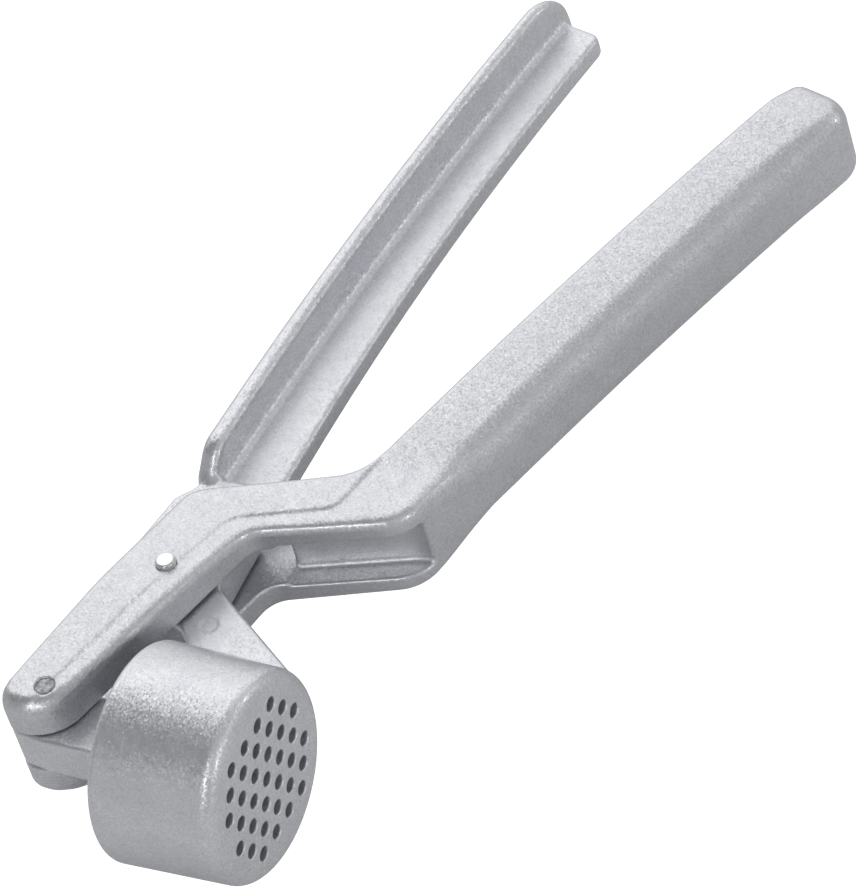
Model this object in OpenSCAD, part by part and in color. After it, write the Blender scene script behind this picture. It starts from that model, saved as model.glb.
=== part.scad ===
// Garlic press: a pliers-like pair of cast levers with a round sieve cup and a swinging plunger.
// Millimetres. The press lies on its side: +Z is the direction of both pins, the levers run
// towards +X, and the sieve faces -Y. Every outline is drawn with the hinge axis at X = Y = 0
// and Z = 0 half way through the press, and place() then moves the whole press to its own origin,
// which is the middle of the side that it lies on.

/* [Cup] */
// Outside radius of the cup at its mouth
cup_r = 17.5; // [17:0.1:18]
// Outside radius of the cup at the sieve
cup_base_r = 16.9; // [16.5:0.1:17.4]
// Depth of the cup from its mouth to the outside of the sieve
cup_depth = 21.8; // [21:0.1:22.4]
// Inside radius of the cup at its mouth
bore_mouth_r = 15.8; // [15.6:0.1:16.2]
// Inside radius of the cup at the sieve
bore_base_r = 15.1; // [14.9:0.1:15.3]
// Thickness of the sieve
sieve_t = 2.4; // [1.6:0.1:2.8]
// Rounding of the cup's outer bottom edge
cup_round = 2.2; // [0.5:0.1:3]
// Distance between neighbouring sieve holes in a row
hole_pitch = 4.45; // [4:0.05:4.6]
// Distance between two rows of sieve holes
row_pitch = 3.34; // [3.2:0.02:3.6]
// Diameter of one sieve hole
hole_d = 2.4; // [1.5:0.1:2.8]

/* [Levers] */
// Width of the press over the outside of the two cheeks at the pins
fork_w = 21.9; // [21:0.1:23]
// Width of the fork lever where its handle begins
elbow_w = 16.2; // [15.6:0.1:17]
// Width of the fork lever at the end of its handle
grip_w = 16.8; // [16:0.1:19]
// Gap between the two cheeks
gap_w = 8.3; // [8.1:0.1:8.8]
// Thickness of the neck and gusset that run between the cheeks
neck_t = 7.1; // [6:0.1:7.6]
// Thickness of the web of the cup lever's handle
web_t = 3.8; // [3:0.1:5]
// Width of the handle flange where it starts
flange_start_w = 15.8; // [14:0.2:17]
// Width of the handle flange at its far end
flange_end_w = 18; // [14:0.2:19]
// Thickness of the walls of the hollow fork handle
wall_t = 2.8; // [2:0.1:3.2]

/* [Plunger] */
// Radius of the plunger disc
disc_r = 13.9; // [13.4:0.1:14]
// Thickness of the plunger disc
disc_t = 3.5; // [2.5:0.1:4.5]
// Thickness of the plunger stem between the cheeks
stem_t = 7.8; // [7:0.1:7.9]

/* [Pins] */
// Diameter of the hinge pin
hinge_pin_d = 3.2; // [2.8:0.1:4]
// Diameter of the plunger pin
plunger_pin_d = 3.2; // [2.8:0.1:4]
// Radial clearance of a pin in the part that turns on it
running_gap = 0.06; // [0.02:0.01:0.1]

/* [Hidden] */
$fn = 96;

// The press's own origin, seen from the hinge axis
origin_x = 44.0;
origin_y = -25.6;
// Plunger pin and the middle of the sieve's outer face, seen from the hinge axis
pin_x = -27.9;
pin_y = 7.05;
cup_x = -28.1;
sieve_y = -29.4;
mouth_y = sieve_y + cup_depth;
// How far the levers still close from the drawn pose until the plunger is on the sieve
closing = 18.5;
// The plunger turns this much, against the cup, for each degree that the fork lever turns
plunger_lag = 0.32;
// Height left under the plunger when the press is shut
shut_gap = 0.35;
rim_chamfer = 0.5;
cast_silver = [0.78, 0.79, 0.81];
steel = [0.62, 0.63, 0.65];

// Points of an arc
function arc(c, r, a0, a1, n = 8) = [for (i = [0:n]) c + r * [cos(a0 + (a1 - a0) * i / n), sin(a0 + (a1 - a0) * i / n)]];

// An outline with rounded corners: each point is [x, y, corner radius]
function xy(p) = [p[0], p[1]];
function unit(v) = v / norm(v);
function cross2(a, b) = a[0] * b[1] - a[1] * b[0];
function corner(a, b, c) =
    let (u = unit(xy(a) - xy(b)), v = unit(xy(c) - xy(b)))
    let (half = acos(max(-1, min(1, u * v))) / 2)
    let (middle = xy(b) + unit(u + v) * b[2] / sin(half))
    let (side = cross2(u, v) > 0 ? -1 : 1)
    let (a0 = atan2(u[0] * side, -u[1] * side), turn = side * (180 - 2 * half))
    let (n = max(2, ceil(abs(turn) / 9)))
    [for (i = [0:n]) middle + b[2] * [cos(a0 + turn * i / n), sin(a0 + turn * i / n)]];
function rounded(p) = [
    for (i = [0:len(p) - 1])
    let (last = p[(i + len(p) - 1) % len(p)], next = p[(i + 1) % len(p)])
    each (p[i][2] > 0 ? corner(last, p[i], next) : [xy(p[i])])
];

// A plate with an XY outline, centred on Z = 0
module plate(p, t) {
    linear_extrude(height = t, center = true) polygon(rounded(p));
}

// A prism with an XZ outline, seen from above, that runs along Y
module seen_from_above(p) {
    rotate([90, 0, 0]) linear_extrude(height = 200, center = true) polygon(rounded(p));
}

// A round bar along Z
module bar(x, y, r, length) {
    translate([x, y, 0]) cylinder(r = r, h = length, center = true);
}

module place() {
    translate([-origin_x, -origin_y, cup_r]) children();
}

// ---- Cup lever ----

// The sieve's holes: seven rows, and the middle row leaves out its two end holes
module sieve_holes() {
    for (row = [-3:3]) {
        count = row == 0 ? 5 : 7 - abs(row);
        for (i = [0:count - 1]) {
            translate([(i - (count - 1) / 2) * hole_pitch, row * row_pitch, -1])
                cylinder(d = hole_d, h = sieve_t + 2, $fn = 24);
        }
    }
}

module cup() {
    translate([cup_x, sieve_y, 0]) rotate([-90, 0, 0]) difference() {
        rotate_extrude() polygon(concat(
            [[0, 0]],
            arc([cup_base_r - cup_round, cup_round], cup_round, -90, 0),
            [[cup_r, cup_depth - rim_chamfer], [cup_r - rim_chamfer, cup_depth]],
            [[bore_mouth_r, cup_depth], [bore_base_r, sieve_t], [0, sieve_t]]
        ));
        sieve_holes();
    }
}

// Flat neck between the cheeks, with the gusset that carries the cup
module neck() {
    in_wall = cup_x + (bore_mouth_r + cup_r) / 2;
    difference() {
        plate([
            [in_wall, sieve_y + 1.3, 0], [cup_x + cup_base_r - 0.2, sieve_y + 2.2, 0],
            [2.9, -5.7, 3], [16.6, -5.3, 1], [17.8, -2.9, 1.2], [23.4, -2.9, 0], [23.4, 6, 0],
            [20.2, 7.7, 2], [17.9, 9.7, 2], [3.6, 12.1, 9], [-6.3, 8.3, 3], [-6.3, -3.6, 4],
            [in_wall, mouth_y - 0.3, 0]
        ], neck_t);
        bar(0, 0, hinge_pin_d / 2 + running_gap, 40);
    }
}

// Bowed T-section handle: a web on edge under a flange
module t_handle() {
    plate([
        [23, -6.0, 0.5], [80.1, -6.3, 600], [130.0, -14.0, 2.2], [131.8, -5.8, 0],
        [81.5, 3.6, 550], [22.9, 5.5, 0]
    ], web_t);
    intersection() {
        plate([
            [20.9, 4.5, 0], [81.2, 2.1, 800], [133.1, -6.7, 0], [133.7, -4.2, 1.2],
            [81.6, 4.8, 800], [20.9, 8.1, 1]
        ], 40);
        seen_from_above([
            [21.4, -flange_start_w / 2 + 4.4, 3], [26, -flange_start_w / 2, 5],
            [133.8, -flange_end_w / 2, 8], [133.8, flange_end_w / 2, 8],
            [26, flange_start_w / 2, 5], [21.4, flange_start_w / 2 - 4.4, 3]
        ]);
    }
}

module cup_lever() {
    color(cast_silver) place() {
        cup();
        neck();
        t_handle();
    }
}

// ---- Fork lever ----

module fork_outline() {
    intersection() {
        plate([
            [-33.5, 4.2, 7.6], [10.2, -8.9, 5], [18.4, -32.1, 8], [73.4, -49.2, 1200],
            [119.1, -65.9, 4.5], [123.3, -53.9, 2.5], [72.7, -34.9, 1000], [26.6, -20.9, 9],
            [16.1, 4.6, 5], [-32.8, 14.4, 3.2]
        ], fork_w + 2);
        seen_from_above([
            [-40, -fork_w / 2, 0], [-6, -fork_w / 2, 60], [13, -elbow_w / 2 - 0.8, 60],
            [30, -elbow_w / 2, 60], [140, -grip_w / 2, 0], [140, grip_w / 2, 0],
            [30, elbow_w / 2, 60], [13, elbow_w / 2 + 0.8, 60], [-6, fork_w / 2, 60],
            [-40, fork_w / 2, 0]
        ]);
    }
}

// The slot between the cheeks, open on both sides as far as the floor's front edge
module cheek_slot() {
    plate([
        [-45, -45, 0], [6, -45, 0], [15.5, -11.7, 0.6], [18.0, -10.8, 0.6],
        [45, -10.8, 0], [45, 30, 0], [-45, 30, 0]
    ], gap_w);
}

// The shallow recess under the elbow's floor
module elbow_recess() {
    plate([
        [6, -11.7, 0], [15.5, -11.7, 0], [22.3, -31.0, 3], [21.0, -45, 0], [6, -45, 0]
    ], gap_w + 1.1);
}

// The channel inside the handle, open towards the other handle
module handle_channel() {
    intersection() {
        plate([
            [18.0, -10.8, 0], [24.9, -30.9, 4], [74.4, -46.2, 1000], [116.2, -61.4, 3],
            [126.3, -40, 0], [72, -20, 0], [38, -6, 0]
        ], 40);
        seen_from_above([
            [10, -gap_w / 2 - 0.5, 0], [26, -gap_w / 2 - 0.5, 20],
            [38, wall_t - elbow_w / 2, 20], [140, wall_t - grip_w / 2, 0],
            [140, grip_w / 2 - wall_t, 0], [38, elbow_w / 2 - wall_t, 20],
            [26, gap_w / 2 + 0.5, 20], [10, gap_w / 2 + 0.5, 0]
        ]);
    }
}

// Recess for the hinge pin's domed head, on both cheeks
head_sink_r = hinge_pin_d / 2 + 0.25;
head_sink = 0.4;
module head_sinks() {
    for (side = [-1, 1]) {
        translate([0, 0, side * fork_w / 2]) cylinder(r = head_sink_r, h = 2 * head_sink, center = true);
    }
}

module fork_lever() {
    color(cast_silver) place() difference() {
        fork_outline();
        cheek_slot();
        elbow_recess();
        handle_channel();
        bar(0, 0, hinge_pin_d / 2, 40);
        bar(pin_x, pin_y, plunger_pin_d / 2, 40);
        head_sinks();
    }
}

// ---- Plunger ----

shut_pin_y = norm([pin_x, pin_y]) * sin(atan2(pin_y, pin_x) + closing);
disc_drop = shut_pin_y - (sieve_y + sieve_t + shut_gap);
disc_shift = 1.2;

module plunger() {
    color(cast_silver) place() translate([pin_x, pin_y, 0]) difference() {
        union() {
            plate([
                [-5.6, -disc_drop + disc_t / 2, 0], [4.6, -disc_drop + disc_t / 2, 0],
                [5.5, -4, 12], [4.2, 5.2, 4], [-4.6, 7.2, 3], [-5.6, 0, 8]
            ], stem_t);
            rotate([0, 0, -plunger_lag * closing]) translate([disc_shift, -disc_drop, 0])
                rotate([-90, 0, 0]) cylinder(r = disc_r, h = disc_t);
        }
        bar(0, 0, plunger_pin_d / 2 + running_gap, 40);
    }
}

// ---- Pins ----

// Steel rivet with a low dome on each end
dome_h = 0.75;
dome_flat = 0.3;
module hinge_pin() {
    shank = fork_w / 2 - head_sink + dome_flat;
    dome_r = (pow(hinge_pin_d / 2, 2) + pow(dome_h, 2)) / (2 * dome_h);
    color(steel) place() rotate_extrude() polygon(concat(
        [[0, -shank - dome_h]],
        arc([0, dome_r - shank - dome_h], dome_r, -90 + asin(hinge_pin_d / 2 / dome_r) / 8,
            -90 + asin(hinge_pin_d / 2 / dome_r), 7),
        arc([0, shank + dome_h - dome_r], dome_r, 90 - asin(hinge_pin_d / 2 / dome_r),
            90 - asin(hinge_pin_d / 2 / dome_r) / 8, 7),
        [[0, shank + dome_h]]
    ));
}

// Plain steel pin, ground off just under the faces of the cheeks
pin_sunk = 0.15;
module plunger_pin() {
    color(steel) place() bar(pin_x, pin_y, plunger_pin_d / 2, fork_w - 2 * pin_sunk);
}

cup_lever();
fork_lever();
plunger();
hinge_pin();
plunger_pin();
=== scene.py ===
"""A garlic press lying on its side: sparkle-painted castings, a swinging plunger and two pins.

The castings are built as signed distance fields and meshed here, so that every edge and every
inside corner is truly round. Lengths in the shape functions are millimetres from the hinge axis,
with z = 0 half way through the press. The outlines follow the CAD solids they stand for.
"""

import math

import bpy
import numpy as np
from mathutils import Matrix, Vector


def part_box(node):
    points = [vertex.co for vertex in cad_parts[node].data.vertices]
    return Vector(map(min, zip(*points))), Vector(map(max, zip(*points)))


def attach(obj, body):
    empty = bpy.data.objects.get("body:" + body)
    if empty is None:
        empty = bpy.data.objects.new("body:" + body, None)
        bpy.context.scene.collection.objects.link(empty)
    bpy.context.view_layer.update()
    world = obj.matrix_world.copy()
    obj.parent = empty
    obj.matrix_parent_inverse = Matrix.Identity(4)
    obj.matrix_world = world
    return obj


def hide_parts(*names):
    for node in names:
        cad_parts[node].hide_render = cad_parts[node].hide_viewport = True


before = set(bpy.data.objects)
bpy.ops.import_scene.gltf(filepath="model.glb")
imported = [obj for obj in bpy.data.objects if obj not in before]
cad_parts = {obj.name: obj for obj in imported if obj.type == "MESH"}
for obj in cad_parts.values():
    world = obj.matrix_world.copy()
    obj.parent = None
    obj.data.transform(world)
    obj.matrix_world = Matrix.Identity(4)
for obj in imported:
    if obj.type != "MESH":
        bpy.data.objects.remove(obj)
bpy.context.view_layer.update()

MM = 0.001


def centre_mm(node):
    low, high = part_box(node)
    return np.array((low + high) / 2) / MM


def size_mm(node):
    low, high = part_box(node)
    return np.array(high - low) / MM


HINGE = centre_mm("hinge_pin")
PLUNGER_PIN = centre_mm("plunger_pin") - HINGE
PIN_R = size_mm("plunger_pin")[0] / 2
RUNNING_GAP = 0.06
PIN_SUNK = 0.15
FORK_HALF = size_mm("fork_lever")[2] / 2
GRID = 1.0

# ---- Distance fields: negative inside, millimetres ----

FAR_OFF = 1e9
OVERLAP = 1e-3


class Outline:
    """A closed outline of [x, y, corner radius] points, as a signed distance field in its plane."""

    LEAST_RADIUS = 0.05

    def __init__(self, points):
        p = [(q[0], q[1], max(q[2] if len(q) > 2 else 0, self.LEAST_RADIUS)) for q in points]
        area = sum(a[0] * b[1] - b[0] * a[1] for a, b in zip(p, p[1:] + p[:1]))
        if area < 0:
            p.reverse()
        self.arcs, self.lines = [], []
        ends = []
        for i, (x, y, r) in enumerate(p):
            here = np.array([x, y])
            u = np.array(p[i - 1][:2]) - here
            v = np.array(p[(i + 1) % len(p)][:2]) - here
            u, v = u / np.linalg.norm(u), v / np.linalg.norm(v)
            half = math.acos(np.clip(u @ v, -1, 1)) / 2
            inward = (u + v) / np.linalg.norm(u + v)
            convex = 1 if u[1] * v[0] - u[0] * v[1] > 0 else -1
            reach = r / math.tan(half)
            self.arcs.append((here + inward * r / math.sin(half), r, -inward, math.sin(half), convex))
            ends.append((here + u * reach, here + v * reach))
        for i, (start, _) in enumerate(ends):
            self.lines.append((ends[i - 1][1], start))

    def __call__(self, x, y):
        best = np.full(np.broadcast(x, y).shape, FAR_OFF)
        for a, b in self.lines:
            length = np.linalg.norm(b - a)
            d = (b - a) / length
            along = (x - a[0]) * d[0] + (y - a[1]) * d[1]
            across = (x - a[0]) * d[1] - (y - a[1]) * d[0]
            beside = (along > -OVERLAP) & (along < length + OVERLAP)
            best = np.where(beside & (abs(across) < abs(best)), across, best)
        for centre, r, middle, span, convex in self.arcs:
            dx, dy = x - centre[0], y - centre[1]
            far = np.hypot(dx, dy)
            d = convex * (far - r)
            in_sector = dx * middle[0] + dy * middle[1] > span * far - OVERLAP
            best = np.where(in_sector & (abs(d) < abs(best)), d, best)
        return best


def cut(a, b, r):
    """What is inside both a and b, with the edge between them rounded to radius r."""
    a, b = a + r, b + r
    return np.minimum(np.maximum(a, b), 0) + np.hypot(np.maximum(a, 0), np.maximum(b, 0)) - r


def join(a, b, r):
    """a and b together, with a fillet of radius r in the corner between them."""
    return -cut(-a, -b, r)


def carve(a, b, r):
    """a without b, with its new edges rounded to radius r."""
    return cut(a, -b, r)


def ease(t):
    """Smoothly from 0 to 1 while t goes from 0 to 1."""
    t = np.clip(t, 0, 1)
    return t * t * (3 - 2 * t)


def fade(t, start, end):
    """Smoothly from 0 at start to 1 at end."""
    return ease((t - start) / (end - start))


def to_chain(points, x, y):
    """Distance in the plane to an open chain of straight pieces."""
    best = np.full(np.broadcast(x, y).shape, FAR_OFF)
    for a, b in zip(points, points[1:]):
        dx, dy = b[0] - a[0], b[1] - a[1]
        t = np.clip(((x - a[0]) * dx + (y - a[1]) * dy) / (dx * dx + dy * dy), 0, 1)
        best = np.minimum(best, np.hypot(x - a[0] - t * dx, y - a[1] - t * dy))
    return best


def bore(x, y, pin, r):
    """A round hole along z at pin."""
    return np.hypot(x - pin[0], y - pin[1]) - r


# ---- Cup lever ----

CUP_X, SIEVE_Y, CUP_DEPTH = -28.1, -29.4, 21.8
CUP_R, CUP_BASE_R, BORE_R, BORE_BASE_R, SIEVE_T = 17.5, 16.9, 15.8, 15.1, 2.4
HOLE_PITCH, ROW_PITCH, HOLE_R = 4.45, 3.34, 1.2
NECK_HALF, WEB_HALF = 3.55, 1.9
IN_WALL = CUP_X + (BORE_R + CUP_R) / 2
EJECTOR_MARK, EJECTOR_R, EJECTOR_DEPTH = (-5.0, -8.3), 1.5, 0.12
WEB_EDGE, FLANGE_EDGE, NECK_EDGE, CUP_EDGE, HOLE_EDGE, BORE_EDGE = 1.0, 1.3, 0.8, 0.5, 0.22, 0.1
WEB_FILLET, NECK_FILLET, CUP_FILLET = 1.6, 1.2, 1.3

# Turned shapes are [radius, height] outlines, drawn past their axis as far as this
INWARD = -6
CUP_OUTER = Outline([
    [INWARD, 0], [CUP_BASE_R, 0, 2.3], [CUP_R, CUP_DEPTH, 1.1], [INWARD, CUP_DEPTH],
])
CUP_BORE = Outline([
    [INWARD, SIEVE_T], [BORE_BASE_R, SIEVE_T, 1.4], [BORE_R, CUP_DEPTH], [BORE_R, 2 * CUP_DEPTH],
    [INWARD, 2 * CUP_DEPTH],
])
NECK = Outline([
    [IN_WALL, SIEVE_Y + 1.6, 0.6], [CUP_X + CUP_BASE_R - 0.2, SIEVE_Y + 2.2, 0.6],
    [2.9, -5.7, 3], [16.6, -5.3, 1], [17.8, -2.9, 1.2], [23.4, -2.9], [23.4, 6],
    [20.2, 7.7, 2], [17.9, 9.7, 2], [3.6, 12.1, 9], [-6.3, 8.3, 3], [-6.3, -3.6, 4],
    [IN_WALL, SIEVE_Y + CUP_DEPTH - 0.8, 0.6],
])
WEB = Outline([
    [22.4, -5.9, 0.6], [80.1, -6.3, 600], [130.0, -14.0, 2.2], [131.8, -5.8],
    [81.5, 3.6, 550], [22.4, 5.5],
])
FLANGE = Outline([
    [20.9, 4.5, 0.6], [81.2, 2.1, 800], [133.1, -6.7, 0.6], [133.7, -4.2, 1.2],
    [81.6, 4.8, 800], [20.9, 8.1, 1],
])
FLANGE_PLAN = Outline([
    [21.7, -3.3, 3], [26.3, -7.9, 5], [133.8, -9, 8], [133.8, 9, 8], [26.3, 7.9, 5], [21.7, 3.3, 3],
])


def sieve_holes(x, z):
    """Seven rows; the middle row leaves out its two end holes."""
    best = np.full(np.broadcast(x, z).shape, FAR_OFF)
    for row in range(-3, 4):
        count = 5 if row == 0 else 7 - abs(row)
        last = (count - 1) / 2
        nearest = np.clip(np.round((x - CUP_X) / HOLE_PITCH + last), 0, count - 1) - last
        best = np.minimum(best, np.hypot(x - CUP_X - nearest * HOLE_PITCH, z - row * ROW_PITCH))
    return best - HOLE_R


def cup_lever(x, y, z):
    """Handle of web and flange, neck with gusset, and cup; z may be on either side."""
    side = abs(z)
    web = cut(WEB(x, y), side - WEB_HALF, WEB_EDGE)
    flange = cut(FLANGE(x, y), FLANGE_PLAN(x, z), FLANGE_EDGE)
    handle = join(web, flange, WEB_FILLET)
    neck = cut(NECK(x, y), side - NECK_HALF, NECK_EDGE)
    lever = join(handle, neck, NECK_FILLET)
    out, up = np.hypot(x - CUP_X, z), y - SIEVE_Y
    lever = join(lever, CUP_OUTER(out, up), CUP_FILLET)
    lever = carve(lever, CUP_BORE(out, up), CUP_EDGE)
    lever = carve(lever, sieve_holes(x, z), HOLE_EDGE)
    mark = np.maximum(bore(x, y, EJECTOR_MARK, EJECTOR_R), NECK_HALF - EJECTOR_DEPTH - side)
    lever = carve(lever, mark, BORE_EDGE)
    return carve(lever, bore(x, y, (0, 0), PIN_R + RUNNING_GAP), BORE_EDGE)


# ---- Fork lever ----

GAP_HALF, RECESS_HALF, ELBOW_HALF, GRIP_HALF = 4.15, 4.7, 8.1, 8.4
# Along the outline's two long edges, for the rounding and the lean
LOWER_EDGE = [(-33.5, 4.2), (10.2, -8.9), (18.4, -32.1), (73.4, -49.2), (119.1, -65.9)]
UPPER_EDGE = [(-25, 12.8), (16.1, 4.6), (26.6, -20.9), (72.7, -34.9), (114, -50.4)]
FORK = Outline([
    [-33.5, 4.2, 7.6], [10.2, -8.9, 5], [18.4, -32.1, 8], [73.4, -49.2, 1200],
    [120.5, -66.3, 5.5], [123.1, -53.9, 2.5], [72.7, -34.9, 1000], [26.6, -20.9, 9],
    [16.1, 4.6, 5], [-32.8, 14.4, 3.2],
])
FORK_PLAN = Outline([
    [-60, -FORK_HALF], [-6, -FORK_HALF, 60], [13, -ELBOW_HALF - 0.8, 60], [30, -ELBOW_HALF, 60],
    [150, -GRIP_HALF], [150, GRIP_HALF], [30, ELBOW_HALF, 60], [13, ELBOW_HALF + 0.8, 60],
    [-6, FORK_HALF, 60], [-60, FORK_HALF],
])
# The flat face of each cheek, which stands a little proud of the flank round it
CHEEK_FACE = Outline([
    [-40, 10.2], [12.2, -4.8, 4], [18.5, -20.2, 3.5], [30, -22.6], [40, -22], [20, 30],
    [-40, 30],
])
SLOT = Outline([
    [-60, -60], [6, -60], [15.5, -11.7, 0.6], [18.0, -10.8, 0.6], [45, -10.8], [45, 30], [-60, 30],
])
RECESS = Outline([[6, -11.7], [15.5, -11.7], [22.3, -31.0, 10], [21.0, -60], [6, -60]])
CHANNEL = Outline([
    [18.0, -10.8], [24.9, -30.9, 4], [74.4, -46.2, 1000], [116.2, -61.4, 3], [126.3, -40],
    [72, -20], [38, -6],
])
WALL_T = 2.8
CHANNEL_PLAN = Outline([
    [10, -GAP_HALF - 0.5], [26, -GAP_HALF - 0.5, 20], [38, WALL_T - ELBOW_HALF, 20],
    [150, WALL_T - GRIP_HALF], [150, GRIP_HALF - WALL_T], [38, ELBOW_HALF - WALL_T, 20],
    [26, GAP_HALF + 0.5, 20], [10, GAP_HALF + 0.5],
])
# Rounding of the outer lower edges and the ends, as (x, radius), and of the upper edges
LOWER_EDGE_R = [
    (-32, 3.2), (-26, 2.1), (4, 1.9), (14, 1.9), (24, 2.6), (36, 4.3), (104, 4.3), (118, 3.0),
]
UPPER_EDGE_R = 1.0
# Drop at the cheek face's edge, as (x, drop), and the width of that ledge
LEDGE_DROP, LEDGE_WIDTH = [(8, 0.14), (15, 0.26)], 0.9
# The grip's flank leans in below its upper edge: draft, crown, and the depth where they are nil
GRIP_DEPTH, GRIP_DRAFT, DRAFT_FROM, GRIP_CROWN, CROWN_FROM_SQUARED = 14, 0.045, 5, 0.0035, 30
GRIP_BEGINS = (22, 36)
# The crease where the rounding of the lower edge starts fades in and out over these stretches of x
CREASE, CREASE_R, CREASE_IN, CREASE_OUT = 0.12, 0.5, (-27, -19), (26, 38)
SLOT_CORNER, RECESS_CORNER, CHANNEL_CORNER, MOUTH_EDGE = 0.3, 1.1, 1.5, 0.5
HEAD_SINK, HEAD_SINK_R, HEAD_SINK_EDGE = 0.4, PIN_R + 0.12, 0.15
LEAST_EDGE = 0.01


def outer_edge_radius(x, y):
    """The lower edges and the ends are generously round, the upper edges only broken."""
    lower, upper = to_chain(LOWER_EDGE, x, y), to_chain(UPPER_EDGE, x, y)
    share = lower / (lower + upper + 1e-6)
    round_edge = np.interp(x, *zip(*LOWER_EDGE_R))
    return round_edge + (UPPER_EDGE_R - round_edge) * fade(share, 0.5, 0.8)


def fork_flank(x, y, z):
    """The outer side faces, with the ledge round the cheek's face and the leaning grip."""
    drop = np.interp(x, *zip(*LEDGE_DROP))
    flank = FORK_PLAN(x, z) + drop * ease(CHEEK_FACE(x, y) / LEDGE_WIDTH + 0.5)
    depth = np.clip(to_chain(UPPER_EDGE, x, y), 0, GRIP_DEPTH)
    lean = GRIP_DRAFT * (depth - DRAFT_FROM) + GRIP_CROWN * (depth**2 - CROWN_FROM_SQUARED)
    return flank + lean * fade(x, *GRIP_BEGINS)


def fork_lever(x, y, z):
    """Outer body with its crease, less the slot, the recess, the channel and the pins' holes."""
    side = abs(z)
    flank = fork_flank(x, y, z)
    crease = fade(x, *CREASE_IN) * (1 - fade(x, *CREASE_OUT))
    body = cut(FORK(x, y), flank - CREASE * crease, outer_edge_radius(x, y))
    body = cut(body, flank, LEAST_EDGE + CREASE_R * crease)
    slot = cut(SLOT(x, y), side - GAP_HALF, SLOT_CORNER)
    recess = cut(RECESS(x, y), side - RECESS_HALF, RECESS_CORNER)
    channel = cut(CHANNEL(x, y), CHANNEL_PLAN(x, z), CHANNEL_CORNER)
    hollow = join(join(slot, recess, SLOT_CORNER), channel, SLOT_CORNER)
    body = carve(body, hollow, MOUTH_EDGE)
    sink = np.maximum(bore(x, y, (0, 0), HEAD_SINK_R), FORK_HALF - HEAD_SINK - side)
    body = carve(body, np.minimum(sink, bore(x, y, (0, 0), PIN_R)), HEAD_SINK_EDGE)
    return carve(body, bore(x, y, PLUNGER_PIN, PIN_R), BORE_EDGE)


# ---- Plunger ----

# Degrees to shut, the plunger's turn in the cup for each of them, and the gap left under the disc
CLOSING, PLUNGER_LAG, SHUT_GAP = 18.5, 0.32, 0.35
DISC_R, DISC_T, STEM_HALF, DISC_SHIFT = 13.9, 3.5, 3.9, 1.2
STEM_EDGE, STEM_FILLET = 0.8, 1.5
SHUT_PIN_Y = np.hypot(*PLUNGER_PIN[:2]) * math.sin(
    math.atan2(PLUNGER_PIN[1], PLUNGER_PIN[0]) + math.radians(CLOSING)
)
DISC_DROP = SHUT_PIN_Y - (SIEVE_Y + SIEVE_T + SHUT_GAP)
STEM = Outline([
    [-5.6, -DISC_DROP + DISC_T / 2], [4.6, -DISC_DROP + DISC_T / 2], [5.5, -4, 12],
    [4.2, 5.2, 4], [-4.6, 7.2, 3], [-5.6, 0, 8],
])
DISC = Outline([[INWARD, 0], [DISC_R, 0, 0.5], [DISC_R, DISC_T, 0.9], [INWARD, DISC_T]])


def plunger(x, y, z):
    """Stem and disc; the disc is turned so that it is level with the sieve when the press is shut."""
    x, y = x - PLUNGER_PIN[0], y - PLUNGER_PIN[1]
    stem = cut(STEM(x, y), abs(z) - STEM_HALF, STEM_EDGE)
    turn = math.radians(PLUNGER_LAG * CLOSING)
    along = x * math.cos(turn) - y * math.sin(turn) - DISC_SHIFT
    up = x * math.sin(turn) + y * math.cos(turn) + DISC_DROP
    solid = join(stem, DISC(np.hypot(along, z), up), STEM_FILLET)
    return carve(solid, bore(x, y, (0, 0), PIN_R + RUNNING_GAP), BORE_EDGE)


# ---- Meshing ----


def axis(*stretches):
    """Grid lines along one axis, from stretches of (start, end, step)."""
    lines = [
        np.linspace(a, b, max(2, round((b - a) / (step * GRID)) + 1))[:-1] for a, b, step in stretches
    ]
    return np.concatenate(lines + [[stretches[-1][1]]])


def surface_net(field, lines):
    """Vertices and quads of the surface where a field on grid lines passes through zero."""
    inside = field < 0
    corners = [(i, j, k) for i in (0, 1) for j in (0, 1) for k in (0, 1)]
    cells = tuple(n - 1 for n in field.shape)

    def shifted(a, offset):
        return a[tuple(slice(o, o + n) for o, n in zip(offset, cells))]

    count = sum(shifted(inside, c).astype(np.int8) for c in corners)
    mixed = (count > 0) & (count < 8)
    cell = np.argwhere(mixed)
    number = np.full(cells, -1, np.int32)
    number[mixed] = np.arange(len(cell))
    total, crossings = np.zeros((len(cell), 3)), np.zeros(len(cell))
    for along in range(3):
        step = np.eye(3, dtype=int)[along]
        for corner in corners:
            if corner[along]:
                continue
            low = cell + corner
            a, b = field[tuple(low.T)], field[tuple((low + step).T)]
            crosses = (a < 0) != (b < 0)
            t = np.where(crosses, a / np.where(crosses, a - b, 1), 0)
            point = np.stack([lines[d][low[:, d]] for d in range(3)], 1)
            span = lines[along][low[:, along] + 1] - lines[along][low[:, along]]
            point[:, along] += t * span
            total += point * crosses[:, None]
            crossings += crosses
    quads = []
    for along in range(3):
        b, c = (along + 1) % 3, (along + 2) % 3
        inner = [slice(1, -1)] * 3
        inner[along] = slice(None)
        low, high = inner.copy(), inner.copy()
        low[along], high[along] = slice(0, -1), slice(1, None)
        first, second = inside[tuple(low)], inside[tuple(high)]
        edges = np.argwhere(first != second)
        leaving = first[tuple(edges.T)]
        at = edges + 1
        at[:, along] -= 1
        ring = []
        for db, dc in ((0, 0), (-1, 0), (-1, -1), (0, -1)):
            q = at.copy()
            q[:, b] += db
            q[:, c] += dc
            ring.append(number[tuple(q.T)])
        ring = np.stack(ring, 1)
        ring[~leaving] = ring[~leaving][:, ::-1]
        quads.append(ring)
    return total / crossings[:, None], np.concatenate(quads)


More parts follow.
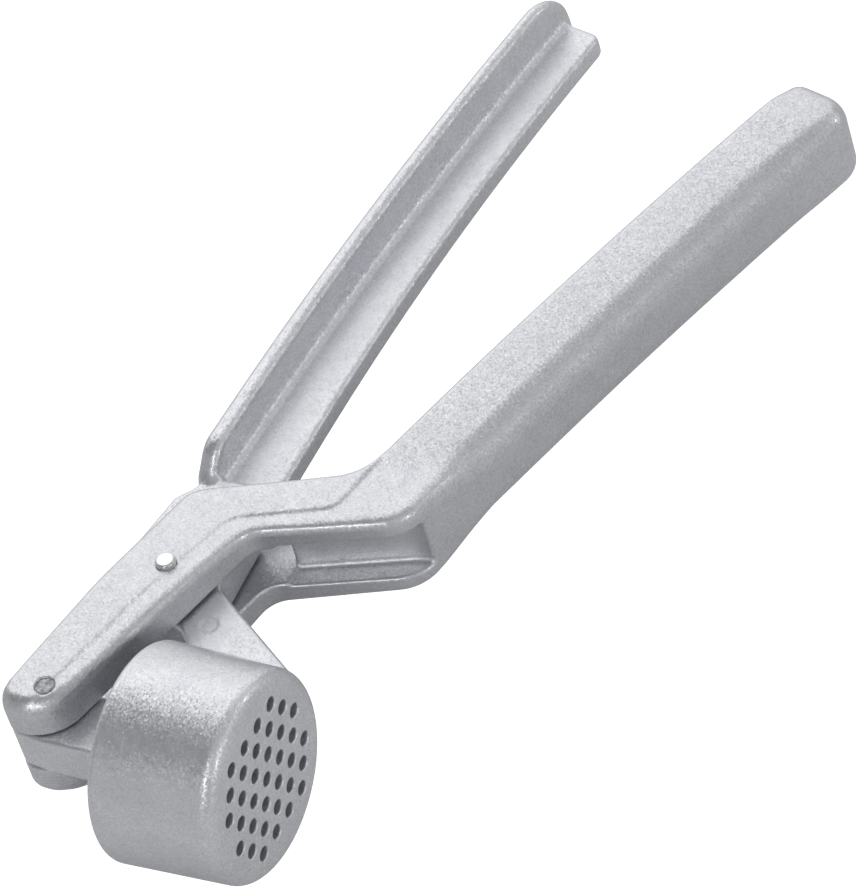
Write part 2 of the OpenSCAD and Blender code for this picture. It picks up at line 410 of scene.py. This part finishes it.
def gradient(shape, points):
    h = 0.02
    slopes = np.empty_like(points)
    for d in range(3):
        step = np.eye(3)[d] * h
        slopes[:, d] = (shape(*(points + step).T) - shape(*(points - step).T)) / (2 * h)
    return slopes


SETTLING_ROUNDS, LONGEST_MOVE, LEAST_SLOPE_SQUARED = 2, 0.15, 0.25


def mesh_of(name, shape, *lines):
    """One piece: the shape meshed on the grid lines, and its vertices moved onto the true surface."""
    x, y, z = lines
    field = shape(x[:, None, None], y[None, :, None], z[None, None, :])
    points, quads = surface_net(np.broadcast_to(field, (len(x), len(y), len(z))), lines)
    for _ in range(SETTLING_ROUNDS):
        slopes = gradient(shape, points)
        steepness = np.maximum((slopes * slopes).sum(1), LEAST_SLOPE_SQUARED)
        move = (shape(*points.T) / steepness)[:, None] * slopes
        points -= np.clip(move, -LONGEST_MOVE, LONGEST_MOVE)
    mesh = bpy.data.meshes.new(name)
    mesh.vertices.add(len(points))
    mesh.vertices.foreach_set("co", ((points + HINGE) * MM).astype(np.float32).ravel())
    mesh.loops.add(quads.size)
    mesh.loops.foreach_set("vertex_index", quads.astype(np.int32).ravel())
    mesh.polygons.add(len(quads))
    mesh.polygons.foreach_set("loop_start", np.arange(0, quads.size, 4, dtype=np.int32))
    mesh.polygons.foreach_set("use_smooth", np.ones(len(quads), bool))
    mesh.update(calc_edges=True)
    mesh.validate()
    piece = bpy.data.objects.new(name, mesh)
    bpy.context.scene.collection.objects.link(piece)
    return piece


def lathed(name, profile, centre, segments=64):
    """A piece turned round the z axis through centre, from (radius, height) points."""
    rings = [p for p in profile if p[0] > 0]
    points = [(0, 0, profile[0][1])]
    for r, h in rings:
        for i in range(segments):
            a = 2 * math.pi * i / segments
            points.append((r * math.cos(a), r * math.sin(a), h))
    points.append((0, 0, profile[-1][1]))
    faces = []
    for i in range(segments):
        j = (i + 1) % segments
        faces.append((0, 1 + j, 1 + i))
        for k in range(len(rings) - 1):
            a = 1 + k * segments
            faces.append((a + i, a + j, a + segments + j, a + segments + i))
        a = 1 + (len(rings) - 1) * segments
        faces.append((a + i, a + j, len(points) - 1))
    mesh = bpy.data.meshes.new(name)
    mesh.from_pydata([tuple((np.array(p) + centre) * MM) for p in points], [], faces)
    mesh.polygons.foreach_set("use_smooth", np.ones(len(faces), bool))
    mesh.update()
    piece = bpy.data.objects.new(name, mesh)
    bpy.context.scene.collection.objects.link(piece)
    return piece


DOME_STEPS, DOME_POWER, SHANK_BELOW_DOME = 8, 0.9, 0.3


def rivet_profile(half, dome, flat_r):
    """Half a rivet from its tip: a flat spot, the round of its dome and the top of its shank."""
    top = []
    for i in range(DOME_STEPS + 1):
        turn = i / DOME_STEPS * math.pi / 2
        r = flat_r + (PIN_R - flat_r) * math.sin(turn)
        top.append((r, half + dome * math.cos(turn) ** DOME_POWER))
    top.append((PIN_R, half - SHANK_BELOW_DOME))
    return [(0, half + dome)] + top


def pin(name, centre, half, dome, flat_r):
    """A rivet along z, alike at both ends."""
    top = rivet_profile(half, dome, flat_r)
    profile = [(r, -h) for r, h in top] + [(r, h) for r, h in reversed(top)]
    return lathed(name, profile, centre)


# ---- Materials ----


def new_material(name):
    material = bpy.data.materials.new(name)
    material.use_nodes = True
    nodes, links = material.node_tree.nodes, material.node_tree.links
    nodes.clear()
    output = nodes.new("ShaderNodeOutputMaterial")
    shader = nodes.new("ShaderNodeBsdfPrincipled")
    links.new(shader.outputs["BSDF"], output.inputs["Surface"])
    place = nodes.new("ShaderNodeTexCoord").outputs["Object"]
    return material, nodes, links, shader, place


def noise(nodes, links, place, size_in_mm, detail=3, roughness=0.55):
    node = nodes.new("ShaderNodeTexNoise")
    node.inputs["Scale"].default_value = 1 / (size_in_mm * MM)
    node.inputs["Detail"].default_value = detail
    node.inputs["Roughness"].default_value = roughness
    links.new(place, node.inputs["Vector"])
    return node.outputs["Fac"]


def ramp(nodes, links, factor, stops):
    node = nodes.new("ShaderNodeValToRGB")
    elements = node.color_ramp.elements
    while len(elements) < len(stops):
        elements.new(0.5)
    for element, (at, colour) in zip(elements, stops):
        element.position = at
        element.color = (*colour, 1) if len(colour) == 3 else colour
    links.new(factor, node.inputs["Fac"])
    return node.outputs["Color"]


def remap(nodes, links, value, low, high):
    node = nodes.new("ShaderNodeMapRange")
    node.inputs["To Min"].default_value = low
    node.inputs["To Max"].default_value = high
    links.new(value, node.inputs["Value"])
    return node.outputs["Result"]


def mixed(nodes, links, kind, factor, a, b):
    node = nodes.new("ShaderNodeMix")
    node.data_type = "RGBA"
    node.blend_type = kind
    node.inputs["Factor"].default_value = factor
    links.new(a, node.inputs["A"])
    links.new(b, node.inputs["B"])
    return node.outputs["Result"]


def vector_math(nodes, links, operation, a, b=None, scale=None):
    node = nodes.new("ShaderNodeVectorMath")
    node.operation = operation
    links.new(a, node.inputs[0])
    if hasattr(b, "links"):
        links.new(b, node.inputs[1])
    elif b is not None:
        node.inputs[1].default_value = b
    if scale is not None:
        node.inputs["Scale"].default_value = scale
    return node.outputs["Vector"]


FLAKE, CLOUD, PEEL = 0.24, 5, 0.9


def sparkle_paint(name, painted_light_factor, flake_tilt):
    """Silver lacquer full of metal flakes: each flake has its own tilt and its own brightness."""
    material, nodes, links, shader, place = new_material(name)
    flakes = nodes.new("ShaderNodeTexVoronoi")
    flakes.inputs["Scale"].default_value = 1 / (FLAKE * MM)
    links.new(place, flakes.inputs["Vector"])
    tilt = vector_math(nodes, links, "SUBTRACT", flakes.outputs["Color"], (0.5, 0.5, 0.5))
    tilt = vector_math(nodes, links, "SCALE", tilt, scale=flake_tilt)
    surface = nodes.new("ShaderNodeNewGeometry").outputs["Normal"]
    tilted = vector_math(nodes, links, "ADD", surface, tilt)
    tilted = vector_math(nodes, links, "NORMALIZE", tilted)
    peel = nodes.new("ShaderNodeBump")
    peel.inputs["Strength"].default_value = 0.12
    peel.inputs["Distance"].default_value = 0.05 * MM
    links.new(noise(nodes, links, place, PEEL), peel.inputs["Height"])
    links.new(tilted, shader.inputs["Normal"])
    links.new(peel.outputs["Normal"], shader.inputs["Coat Normal"])
    grain = ramp(nodes, links, flakes.outputs["Color"], [
        (0.0, (0.58, 0.59, 0.62)), (0.45, (0.70, 0.71, 0.74)), (0.85, (0.77, 0.78, 0.81)),
        (1.0, (0.92, 0.93, 0.95)),
    ])
    # The factor lightens the whole paint colour: painted light, standing in for extra light on the cup
    # and plunger.
    pale, dull = (painted_light_factor,) * 3, (0.93 * painted_light_factor, 0.93 * painted_light_factor, 0.94 * painted_light_factor)
    patches = noise(nodes, links, place, CLOUD, detail=5)
    clouds = ramp(nodes, links, patches, [(0.3, dull), (0.7, pale)])
    links.new(mixed(nodes, links, "MULTIPLY", 1.0, grain, clouds), shader.inputs["Base Color"])
    unevenness = noise(nodes, links, place, 1.5)
    links.new(remap(nodes, links, unevenness, 0.34, 0.50), shader.inputs["Roughness"])
    shader.inputs["Metallic"].default_value = 0.92
    shader.inputs["Coat Weight"].default_value = 0.6
    shader.inputs["Coat Roughness"].default_value = 0.12
    return material


def steel(name, dark, light, rough_low, rough_high, bump):
    """Bare pin steel: fine turning marks, blotches and a dulled or a polished skin."""
    material, nodes, links, shader, place = new_material(name)
    blotches = noise(nodes, links, place, 0.8, detail=4, roughness=0.7)
    links.new(ramp(nodes, links, blotches, [(0.35, dark), (0.65, light)]), shader.inputs["Base Color"])
    links.new(remap(nodes, links, blotches, rough_high, rough_low), shader.inputs["Roughness"])
    shader.inputs["Metallic"].default_value = 1.0
    relief = nodes.new("ShaderNodeBump")
    relief.inputs["Strength"].default_value = bump
    relief.inputs["Distance"].default_value = 0.08 * MM
    links.new(noise(nodes, links, place, 0.35), relief.inputs["Height"])
    links.new(relief.outputs["Normal"], shader.inputs["Normal"])
    return material


def floor_paper(name, grey, glow):
    """Matt paper; its glow is light of its own, which keeps it as white as the photograph's ground."""
    material, nodes, links, shader, place = new_material(name)
    shader.inputs["Base Color"].default_value = (grey, grey, grey, 1)
    shader.inputs["Roughness"].default_value = 1.0
    shader.inputs["Specular IOR Level"].default_value = 0.0
    shader.inputs["Emission Color"].default_value = (1, 1, 1, 1)
    shader.inputs["Emission Strength"].default_value = glow
    return material


# ---- Pieces ----


def cup_casting():
    return mesh_of(
        "cup_casting", cup_lever,
        axis((-47, -10, 0.22), (-10, 26, 0.3), (26, 130, 0.7), (130, 135, 0.35)),
        axis((-30.5, -26, 0.2), (-26, 14, 0.28)),
        axis((-18.5, 18.5, 0.24)),
    )


def fork_casting():
    return mesh_of(
        "fork_casting", fork_lever,
        axis((-35, 30, 0.3), (30, 112, 0.7), (112, 125, 0.4)),
        axis((-68, -36, 0.4), (-36, 16, 0.3)),
        axis((-12, 12, 0.28)),
    )


def plunger_casting():
    return mesh_of(
        "plunger_casting", plunger,
        axis((-45, -10, 0.3)), axis((-20, 16, 0.3)), axis((-15, 15, 0.3)),
    )


# Each casting with its body, its CAD node, the factor that lightens its paint as painted light (over 1
# on the cup and plunger), and the flake tilt of its paint
CASTINGS = [
    (cup_casting, "cup_side", "cup_lever", 1.1, 0.24),
    (fork_casting, "fork_side", "fork_lever", 1.0, 0.17),
    (plunger_casting, "plunger_side", "plunger", 1.1, 0.22),
]
for casting, body, node, painted_light_factor, flake_tilt in CASTINGS:
    piece = casting()
    piece.data.materials.append(sparkle_paint(piece.name + "_paint", painted_light_factor, flake_tilt))
    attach(piece, body)
    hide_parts(node)


def hinge_rivet():
    """Bright and flat-headed, just proud of the cheeks."""
    piece = pin("hinge_rivet", HINGE, half=FORK_HALF - 0.2, dome=0.4, flat_r=1.2)
    dark, light = (0.70, 0.70, 0.71), (0.86, 0.86, 0.87)
    piece.data.materials.append(steel("bright_steel", dark, light, 0.2, 0.3, 0.05))
    return piece


def plunger_rivet():
    """Dull and blotched, ground off just under the faces of the cheeks."""
    dome = 0.1
    half = FORK_HALF - PIN_SUNK - dome
    piece = pin("plunger_rivet", HINGE + PLUNGER_PIN, half, dome, flat_r=1.2)
    dark, light = (0.22, 0.22, 0.23), (0.55, 0.55, 0.56)
    piece.data.materials.append(steel("dull_steel", dark, light, 0.35, 0.6, 0.5))
    return piece


for piece, node in ((hinge_rivet(), "hinge_pin"), (plunger_rivet(), "plunger_pin")):
    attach(piece, "fork_side")
    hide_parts(node)

# ---- Floor, light and camera ----

FLOOR_SIDE = 8
PAPER_BELOW_TABLE = 0.1


def plane(name, height, material):
    """A square sheet, level, in the middle of the frame."""
    half = FLOOR_SIDE / 2
    corners = [(-half, -half), (half, -half), (half, half), (-half, half)]
    mesh = bpy.data.meshes.new(name)
    mesh.from_pydata([(x, y, height) for x, y in corners], [], [(0, 1, 2, 3)])
    mesh.materials.append(material)
    sheet = bpy.data.objects.new(name, mesh)
    bpy.context.scene.collection.objects.link(sheet)
    return sheet


def make_floor():
    """Pale paper for the camera, and a greyer table top that only the press sees."""
    paper = plane("floor", -PAPER_BELOW_TABLE * MM, floor_paper("floor_paper", 0.93, 0.98))
    paper.visible_glossy = False
    paper.visible_diffuse = False
    table = plane("table", 0, floor_paper("table_top", 0.80, 0))
    table.visible_camera = False


SOFTBOX_SIDE, SOFTBOX_DISTANCE = 0.07, 1.0
SOFTBOXES = [
    ("front_right", (0.60, -0.70, 0.40), 32),
    ("front_left", (-0.25, -0.87, 0.40), 45),
    ("left", (-0.78, -0.08, 0.62), 60),
]


def softbox(name, toward, brightness):
    """A square area light that faces the middle of the frame from the direction toward."""
    data = bpy.data.lights.new(name, "AREA")
    data.shape = "SQUARE"
    data.size = SOFTBOX_SIDE
    data.energy = brightness * math.pi * SOFTBOX_SIDE**2
    light = bpy.data.objects.new(name, data)
    bpy.context.scene.collection.objects.link(light)
    light.visible_camera = False
    direction = Vector(toward).normalized()
    light.location = direction * SOFTBOX_DISTANCE
    light.rotation_euler = direction.to_track_quat("Z", "Y").to_euler()


def facing(nodes, links, direction, toward, edge, middle):
    """1 in the direction toward, and 0 where the angle from it is past edge; both in degrees."""
    dot = nodes.new("ShaderNodeVectorMath")
    dot.operation = "DOT_PRODUCT"
    dot.inputs[1].default_value = Vector(toward).normalized()
    links.new(direction, dot.inputs[0])
    share = nodes.new("ShaderNodeMapRange")
    share.interpolation_type = "SMOOTHSTEP"
    share.inputs["From Min"].default_value = math.cos(math.radians(edge))
    share.inputs["From Max"].default_value = math.cos(math.radians(middle))
    links.new(dot.outputs["Value"], share.inputs["Value"])
    return share.outputs["Result"]


def scaled_sum(nodes, links, a, b, factor):
    """a + b * factor"""
    node = nodes.new("ShaderNodeMath")
    node.operation = "MULTIPLY_ADD"
    node.inputs[1].default_value = factor
    links.new(b, node.inputs[0])
    links.new(a, node.inputs[2])
    return node.outputs["Value"]


HORIZON = (-0.1, 0.15)
LIGHT_BELOW, LIGHT_ABOVE = 0.48, 0.54
# Where the surroundings are lighter or darker: direction, outer and inner angle, added strength
LIGHT_SIDES = [
    ((0.8, 0.45, 0.45), 46, 26, 0.66),
    ((0.45, 0.56, 0.70), 30, 6, 0.62),
    ((0.55, -0.30, 0.78), 26, 6, 0.26),
    ((-0.35, 0.45, 0.8), 36, 14, -0.34),
]


def make_world():
    """Soft surroundings: grey, with a wide bright side behind the press and a dark patch over it."""
    world = bpy.data.worlds.new("studio")
    bpy.context.scene.world = world
    world.use_nodes = True
    nodes, links = world.node_tree.nodes, world.node_tree.links
    nodes.clear()
    output = nodes.new("ShaderNodeOutputWorld")
    background = nodes.new("ShaderNodeBackground")
    links.new(background.outputs["Background"], output.inputs["Surface"])
    direction = nodes.new("ShaderNodeTexCoord").outputs["Generated"]
    parts = nodes.new("ShaderNodeSeparateXYZ")
    links.new(direction, parts.inputs["Vector"])
    height = nodes.new("ShaderNodeMapRange")
    height.inputs["From Min"].default_value = HORIZON[0]
    height.inputs["From Max"].default_value = HORIZON[1]
    height.inputs["To Min"].default_value = LIGHT_BELOW
    height.inputs["To Max"].default_value = LIGHT_ABOVE
    links.new(parts.outputs["Z"], height.inputs["Value"])
    light = height.outputs["Result"]
    for toward, edge, middle, strength in LIGHT_SIDES:
        share = facing(nodes, links, direction, toward, edge, middle)
        light = scaled_sum(nodes, links, light, share, strength)
    links.new(light, background.inputs["Strength"])


# Metres in the frame, and degrees; this is where the photograph was taken from
CAMERA_AT = (-0.58512, -0.47095, 0.77353)
CAMERA_RIGHT = Vector((0.42314, -0.87810, -0.22336))
CAMERA_UP = Vector((0.72263, 0.17835, 0.66782))
FIELD_OF_VIEW = 7.5


def make_camera():
    data = bpy.data.cameras.new("camera")
    data.sensor_fit = "VERTICAL"
    data.angle_y = math.radians(FIELD_OF_VIEW)
    data.clip_end = 100
    camera = bpy.data.objects.new("camera", data)
    bpy.context.scene.collection.objects.link(camera)
    back = CAMERA_RIGHT.cross(CAMERA_UP)
    camera.matrix_world = Matrix((CAMERA_RIGHT, CAMERA_UP, back)).transposed().to_4x4()
    camera.location = CAMERA_AT
    bpy.context.scene.camera = camera


bpy.context.scene.view_settings.view_transform = "Standard"
make_floor()
make_world()
for name, toward, brightness in SOFTBOXES:
    softbox(name, toward, brightness)
make_camera()
